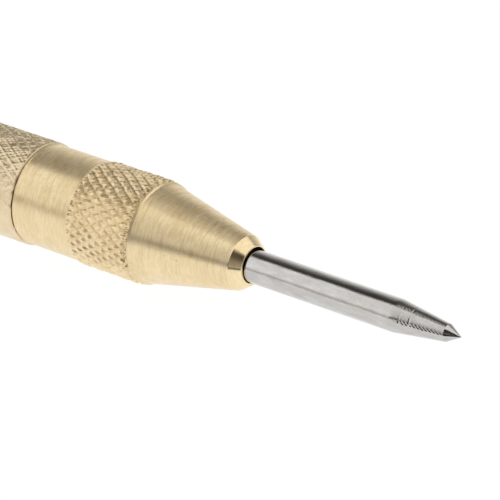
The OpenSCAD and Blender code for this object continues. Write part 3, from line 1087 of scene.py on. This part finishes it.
SKY_TOP = (0.06, 0.055, 0.048)
SKY_LOW = (1.05, 1.05, 1.05)
SKY_FALL = ((0.1, 1.0), (0.3, 0.8), (0.5, 0.5), (0.66, 0.24), (0.77, 0.08))  # height, light
SKY_DIM = (0.3, 0.29, 0.28)
ROOM_DARK = (0.08, 0.06, 0.045)
ROOM_PALE = (0.8, 0.77, 0.73)
FRONT_BOX = (1.09, 1.09, 1.08)
FRONT_BOX_DIM = (0.56, 0.55, 0.53)
STRIP_LIT = (0.92, 0.9, 0.87)
STRIP_HALF_LIT = (0.5, 0.47, 0.43)
STRIP_END = (0.24, 0.22, 0.2)
RIGHT_BOX = (1.12, 1.12, 1.11)
STAND_DARK = (0.035, 0.027, 0.022)
STAND_LOW = (0.33, 0.3, 0.27)
BACKDROP = (1.0, 1.0, 1.0)
OVERHEAD = 0.02          # the least height that places on the ceiling are worked out with
CAMERA_SIDE = (0.564, -0.706, 0.428)     # the dark camera and its stand are seen this way


class Studio(Graph):
    """The light as a function of its direction: X right, Y away, Z up."""

    def __init__(self):
        self.world = bpy.data.worlds.new("studio")
        self.world.use_nodes = True
        super().__init__(self.world.node_tree)
        self.background = self.tree.nodes["Background"]
        self.direction = self.tree.nodes.new("ShaderNodeTexCoord").outputs["Generated"]
        split = self.tree.nodes.new("ShaderNodeSeparateXYZ")
        self.link(self.direction, split.inputs[0])
        self.x, self.y, self.z = split.outputs
        up = self.math("MAXIMUM", self.z, OVERHEAD)
        self.x_over = self.math("DIVIDE", self.x, up)    # places on a ceiling one unit up
        self.y_over = self.math("DIVIDE", self.y, up)

    def step(self, value, start, end, low=0.0, high=1.0):
        """A soft edge between two values."""
        return self.ramp(value, start, end, low, high, "SMOOTHSTEP")

    def product(self, *factors):
        total = factors[0]
        for factor in factors[1:]:
            total = self.math("MULTIPLY", total, factor)
        return total

    def toward(self, direction):
        """1 in that direction, less away from it."""
        node = self.tree.nodes.new("ShaderNodeVectorMath")
        node.operation = "DOT_PRODUCT"
        node.inputs[1].default_value = direction
        self.link(self.direction, node.inputs[0])
        return node.outputs["Value"]


def room(w):
    """Light behind that falls off with height, and a dark room in front, paler on the left."""
    fall = w.tree.nodes.new("ShaderNodeValToRGB")
    fall.color_ramp.interpolation = "CARDINAL"
    stops = fall.color_ramp.elements
    stops[0].position, stops[0].color = 0.0, (*SKY_LOW, 1.0)
    stops[1].position, stops[1].color = 1.0, (*SKY_TOP, 1.0)
    for height, light in SKY_FALL:
        stop = stops.new(height)
        stop.color = (light, light * 0.98, light * 0.95, 1.0)
    w.link(w.z, fall.inputs["Fac"])
    behind = w.mix(w.step(w.x, -0.5, -0.05, 0.0, 0.45), fall.outputs["Color"], SKY_DIM)
    before = w.mix(w.step(w.x, -0.25, -0.6), ROOM_DARK, ROOM_PALE)
    return w.mix(w.step(w.y, 0.09, -0.13), behind, before)


def with_softboxes(w, colour):
    """Adds the softbox in front, the graded strip over the tool and the box on the right."""
    front = w.product(w.step(w.y_over, -0.12, -0.17), w.step(w.z, 0.035, 0.2))
    dimmer = w.product(w.step(w.x, -0.5, -0.15), w.step(w.z, 1.3, 0.1))
    colour = w.mix(front, colour, w.mix(dimmer, FRONT_BOX, FRONT_BOX_DIM))
    strip = w.product(w.step(w.x_over, -0.4, -0.25), w.step(w.y_over, -0.17, -0.11),
                      w.step(w.y_over, 1.75, 1.25))
    light = w.mix(w.step(w.y_over, 0.6, -0.1), STRIP_HALF_LIT, STRIP_LIT)
    light = w.mix(w.step(w.y_over, 0.6, 0.95), light, STRIP_END)
    colour = w.mix(strip, colour, light)
    right = w.product(w.step(w.x_over, 0.17, 0.33), w.step(w.y_over, -0.9, -0.6),
                      w.step(w.y_over, 1.75, 1.25), w.step(w.x_over, 2.2, 1.7))
    return w.mix(right, colour, RIGHT_BOX)


def with_stand(w, colour):
    """Adds the dark camera, its stand and the stand's arm, paler low down on the right."""
    stand = w.product(w.step(w.x, -0.38, -0.08), w.step(w.x, 0.6, 0.45), w.step(w.y, -0.3, -0.5),
                      w.step(w.z, 0.34, 0.14))
    arm = w.product(w.step(w.x_over, 0.54, 0.66), w.step(w.y_over, -0.28, -0.4),
                    w.step(w.z, 0.3, 0.5))
    dark = w.math("MAXIMUM", w.step(w.toward(CAMERA_SIDE), 0.855, 0.905), stand)
    dark = w.math("MAXIMUM", dark, w.math("MULTIPLY", arm, 0.8))
    low = w.product(w.step(w.x, 0.44, 0.56), w.step(w.z, 0.62, 0.08))
    return w.mix(dark, colour, w.mix(low, STAND_DARK, STAND_LOW))


def world():
    """The studio as the tool mirrors it. The camera itself sees a plain white backdrop."""
    w = Studio()
    seen = with_stand(w, with_softboxes(w, room(w)))
    direct = w.tree.nodes.new("ShaderNodeLightPath").outputs["Is Camera Ray"]
    w.link(w.mix(direct, seen, BACKDROP), w.background.inputs["Color"])
    w.background.inputs["Strength"].default_value = 1.0
    bpy.context.scene.world = w.world


VIEW_AZIMUTH = math.radians(38.62)
VIEW_ELEVATION = math.radians(25.34)
VIEW_DISTANCE = 0.44989
LENS = 273.93
AIM_RIGHT = 0.010611     # it aims beside the nose's rim, not at it
AIM_DOWN = 0.001939


def camera():
    """The photograph's viewing angle, found from the tool's outlines in it."""
    a, e = VIEW_AZIMUTH, VIEW_ELEVATION
    back = Vector((math.sin(a) * math.cos(e), -math.cos(a) * math.cos(e), math.sin(e)))
    right = Vector((math.cos(a), math.sin(a), 0))
    up = back.cross(right)
    rim = Vector((TIP_X - RIM * MM, 0, AXIS_Z))
    data = bpy.data.cameras.new("camera")
    data.lens = LENS
    data.clip_start, data.clip_end = 0.01, 20
    cam = bpy.data.objects.new("camera", data)
    turn = Matrix((right, up, back)).transposed()
    place = rim + right * AIM_RIGHT - up * AIM_DOWN + back * VIEW_DISTANCE
    cam.matrix_world = Matrix.Translation(place) @ turn.to_4x4()
    bpy.context.scene.collection.objects.link(cam)
    bpy.context.scene.camera = cam


floor()
for name, brightness, corners in CARDS:
    card(name, brightness, corners)
world()
camera()
bpy.context.scene.view_settings.view_transform = "Standard"
